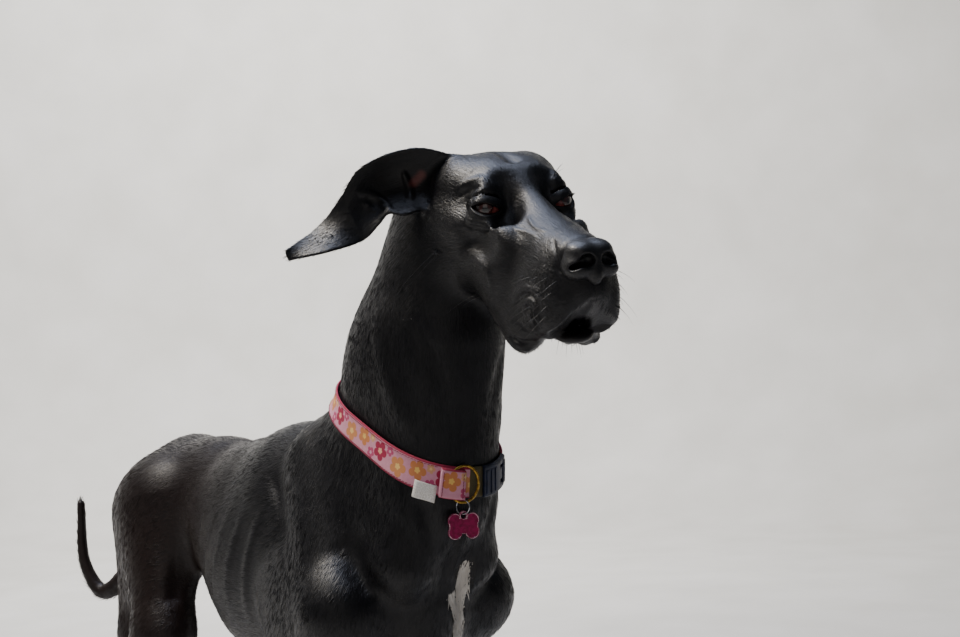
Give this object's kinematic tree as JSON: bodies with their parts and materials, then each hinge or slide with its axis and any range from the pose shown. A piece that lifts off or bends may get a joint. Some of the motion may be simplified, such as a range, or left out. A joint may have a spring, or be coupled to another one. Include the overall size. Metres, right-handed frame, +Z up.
{
  "type": "great dane",
  "caption": "Life-size black dog of a giant short-haired breed, standing square on its paws with its head high and one ear blown back, in a webbing collar with a tag.",
  "frame": {"origin": "middle of the bounding box, on the floor that the paws stand on", "axes": "+Z up, the nose towards -Y, the dog's own left towards +X"},
  "size_m": [0.3356, 1.3284, 1.0923],
  "materials": {
    "coat": "short flat glossy hair, black",
    "nose": "moist, finely pebbled",
    "eyes": "wet",
    "claws": "horn, satin",
    "collar_webbing": "woven, printed",
    "buckle_plastic": "moulded, satin",
    "label_fabric": "woven, plain",
    "ring_brass": "polished",
    "ring_steel": "polished",
    "tag_metal": "anodised, satin"
  },
  "bodies": {
    "root": {"foreleg_upper_right": "coat", "foreleg_lower_right": "coat", "thigh_right": "coat", "gaskin_right": "coat", "hindleg_lower_right": "coat", "forepaw_right": "coat", "foreclaw_right_1": "claws", "foreclaw_right_2": "claws", "foreclaw_right_3": "claws", "foreclaw_right_4": "claws", "hindpaw_right": "coat", "hindclaw_right_1": "claws", "hindclaw_right_2": "claws", "hindclaw_right_3": "claws", "hindclaw_right_4": "claws", "foreleg_upper_left": "coat", "foreleg_lower_left": "coat", "thigh_left": "coat", "gaskin_left": "coat", "hindleg_lower_left": "coat", "forepaw_left": "coat", "foreclaw_left_1": "claws", "foreclaw_left_2": "claws", "foreclaw_left_3": "claws", "foreclaw_left_4": "claws", "hindpaw_left": "coat", "hindclaw_left_1": "claws", "hindclaw_left_2": "claws", "hindclaw_left_3": "claws", "hindclaw_left_4": "claws", "tail_base": "coat", "tail_middle": "coat", "tail_end": "coat", "torso": "coat", "neck": "coat", "nose": "nose", "eye_right": "eyes", "eye_left": "eyes", "head": "coat", "ear_right": "coat", "ear_left": "coat", "collar_band": "collar_webbing", "collar_buckle": "buckle_plastic", "collar_label": "label_fabric", "collar_ring": "ring_brass", "collar_keeper": "collar_webbing", "tag_ring": "ring_steel", "tag": "tag_metal"}
  },
  "joints": []
}
